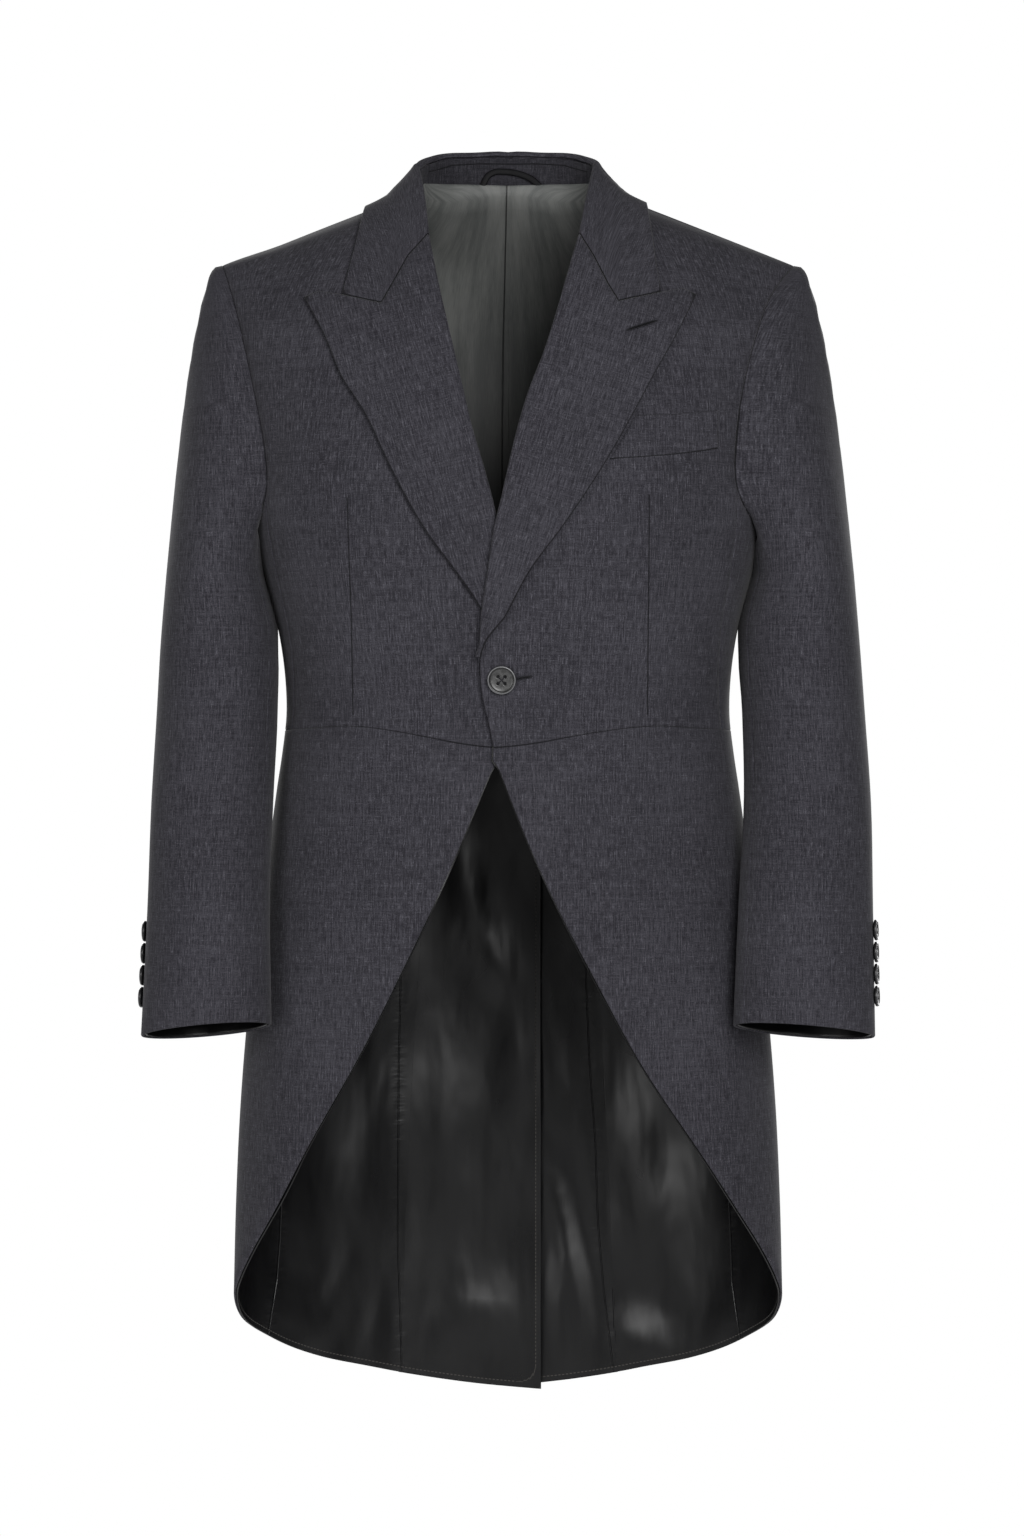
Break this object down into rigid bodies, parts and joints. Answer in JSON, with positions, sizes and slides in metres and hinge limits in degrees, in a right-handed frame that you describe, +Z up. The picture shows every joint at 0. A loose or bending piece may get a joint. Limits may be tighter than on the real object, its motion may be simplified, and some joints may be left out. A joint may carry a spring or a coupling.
{
  "type": "morning coat",
  "caption": "single-breasted cutaway morning coat in its worn form, with peaked lapels, waist seam, knee-length tails, two-piece sleeves, satin linings and one front button",
  "frame": {"origin": "between the shoulders at the foot of the neck, where the wearer carries the coat", "axes": "+X is the wearer's left, -Y is the front of the coat, +Z is up"},
  "size_m": [0.5827, 0.2664, 1.0159],
  "materials": {
    "cloth": "fine worsted wool, matt, charcoal grey with a faint lengthwise fleck",
    "stand_cloth": "the same worsted in the shade of the neck",
    "grey_satin": "soft satin lining, grey",
    "black_satin": "satin lining, black, with soft highlights",
    "tape": "dark woven tape",
    "horn": "polished grey horn button"
  },
  "bodies": {
    "root": {"front_right": "cloth", "front_left": "cloth", "side_body_right": "cloth", "side_body_left": "cloth", "back_right": "cloth", "back_left": "cloth", "skirt_right": "cloth", "skirt_left": "cloth", "top_sleeve_right": "cloth", "top_sleeve_left": "cloth", "under_sleeve_right": "cloth", "under_sleeve_left": "cloth", "lapel_right": "cloth", "lapel_left": "cloth", "collar": "cloth", "collar_stand": "stand_cloth", "welt_pocket": "cloth", "back_lining_right": "grey_satin", "back_lining_left": "grey_satin", "skirt_lining_right": "black_satin", "skirt_lining_left": "black_satin", "tail_lining_right": "black_satin", "tail_lining_left": "black_satin", "cuff_lining_right": "black_satin", "cuff_lining_left": "black_satin", "hanger_loop": "tape", "front_button": "horn", "cuff_button_right_1": "horn", "cuff_button_right_2": "horn", "cuff_button_right_3": "horn", "cuff_button_right_4": "horn", "cuff_button_left_1": "horn", "cuff_button_left_2": "horn", "cuff_button_left_3": "horn", "cuff_button_left_4": "horn"}
  },
  "joints": []
}
